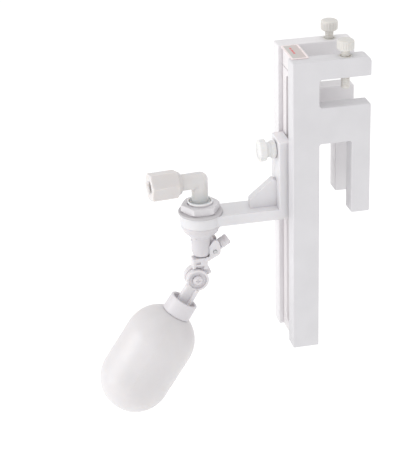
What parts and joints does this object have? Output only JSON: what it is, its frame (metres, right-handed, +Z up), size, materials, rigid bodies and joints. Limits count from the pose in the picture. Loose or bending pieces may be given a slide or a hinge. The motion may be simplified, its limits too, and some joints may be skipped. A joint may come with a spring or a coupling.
{
  "type": "float valve",
  "caption": "Small plastic float valve with an elbow fitting, held by an adjustable arm on a clamp-on tank bracket; the float hangs from a hinged lever.",
  "frame": {"origin": "on the clamp screws' plane, half way between the side plates, level with the clamp slot's floor", "axes": "+Z up along the bracket, +X from the float towards the clamp slot's mouth, +Y across the plates to the rear one"},
  "size_m": [0.1507, 0.0442, 0.2126],
  "materials": {
    "front_side_plate": "moulded ABS",
    "rear_side_plate": "moulded ABS",
    "slide_rail": "moulded ABS",
    "rail_head": "moulded ABS",
    "rail_label": "printed film",
    "front_clamp_screw": "natural nylon",
    "rear_clamp_screw": "natural nylon",
    "slider_arm": "moulded ABS",
    "slider_knob": "moulded nylon",
    "slider_nut": "moulded nylon",
    "sealing_washer": "pale rubber",
    "locknut": "moulded POM",
    "valve_body": "moulded POM",
    "valve_seat": "moulded POM",
    "plunger": "moulded POM",
    "plunger_seal": "black nitrile",
    "elbow": "natural polypropylene",
    "upper_o_ring": "black nitrile",
    "lower_o_ring": "black nitrile",
    "compression_nut": "natural polypropylene",
    "ferrule": "natural polyethylene",
    "lever": "moulded POM",
    "lever_pin": "stainless steel",
    "lever_screw": "moulded POM",
    "float_arm": "moulded POM",
    "joint_screw": "moulded nylon",
    "joint_nut": "moulded nylon",
    "float_collar": "moulded PP",
    "float_shell": "blow-moulded PP"
  },
  "bodies": {
    "bracket": {"front_side_plate": "front_side_plate", "rear_side_plate": "rear_side_plate", "slide_rail": "slide_rail", "rail_head": "rail_head", "rail_label": "rail_label"},
    "front_clamp": {"front_clamp_screw": "front_clamp_screw"},
    "rear_clamp": {"rear_clamp_screw": "rear_clamp_screw"},
    "carriage": {"slider_arm": "slider_arm", "sealing_washer": "sealing_washer", "valve_body": "valve_body", "valve_seat": "valve_seat"},
    "knob": {"slider_knob": "slider_knob"},
    "clamp_nut": {"slider_nut": "slider_nut"},
    "locknut": {"locknut": "locknut"},
    "elbow": {"elbow": "elbow", "upper_o_ring": "upper_o_ring", "lower_o_ring": "lower_o_ring", "ferrule": "ferrule"},
    "tube_nut": {"compression_nut": "compression_nut"},
    "lever": {"lever": "lever", "lever_pin": "lever_pin", "joint_screw": "joint_screw", "joint_nut": "joint_nut"},
    "level_screw": {"lever_screw": "lever_screw"},
    "plunger": {"plunger": "plunger", "plunger_seal": "plunger_seal"},
    "float": {"float_arm": "float_arm", "float_collar": "float_collar", "float_shell": "float_shell"}
  },
  "joints": [
    {"name": "height_slide", "type": "slide", "parent": "bracket", "child": "carriage", "axis": [0, 0, 1], "range_m": [-0.1, 0.034]},
    {"name": "front_clamp_travel", "type": "slide", "parent": "bracket", "child": "front_clamp", "axis": [0, 0, 1], "range_m": [-0.0031, 0.0075]},
    {"name": "rear_clamp_travel", "type": "slide", "parent": "bracket", "child": "rear_clamp", "axis": [0, 0, 1], "range_m": [-0.0043, 0.0063]},
    {"name": "knob_turn", "type": "hinge", "parent": "carriage", "child": "knob", "pos_m": [-0.0345, 0, -0.0287], "axis": [1, 0, 0], "range_deg": [0, 720]},
    {"name": "clamp_nut_travel", "type": "slide", "parent": "carriage", "child": "clamp_nut", "axis": [1, 0, 0], "range_m": [0, 0.00159]},
    {"name": "locknut_turn", "type": "hinge", "parent": "carriage", "child": "locknut", "pos_m": [-0.077, 0, -0.0575], "axis": [0, 0, 1], "range_deg": [-180, 180]},
    {"name": "elbow_swivel", "type": "hinge", "parent": "carriage", "child": "elbow", "pos_m": [-0.077, 0, -0.042], "axis": [0, 0, 1], "range_deg": [-180, 180]},
    {"name": "tube_nut_turn", "type": "hinge", "parent": "elbow", "child": "tube_nut", "pos_m": [-0.09689, -0.00209, -0.042], "axis": [-0.9945, -0.1045, 0], "range_deg": [-360, 360]},
    {"name": "lever_hinge", "type": "hinge", "parent": "carriage", "child": "lever", "pos_m": [-0.0702, 0, -0.0839], "axis": [0, 1, 0], "range_deg": [0, 5.5]},
    {"name": "plunger_travel", "type": "slide", "parent": "carriage", "child": "plunger", "axis": [0, 0, 1], "range_m": [0, 0.0007]},
    {"name": "level_screw_turn", "type": "hinge", "parent": "lever", "child": "level_screw", "pos_m": [-0.0702, 0, -0.0839], "axis": [0.848, 0, 0.5299], "range_deg": [-180, 180]},
    {"name": "float_angle", "type": "hinge", "parent": "lever", "child": "float", "pos_m": [-0.0807, 0, -0.0999], "axis": [0, 1, 0], "range_deg": [-35, 60]}
  ],
  "couplings": [
    {"joint": "plunger_travel", "follows": "lever_hinge", "m_per_rad": 0.0069},
    {"joint": "knob_turn", "follows": "clamp_nut_travel", "rad_per_m": 7874}
  ]
}
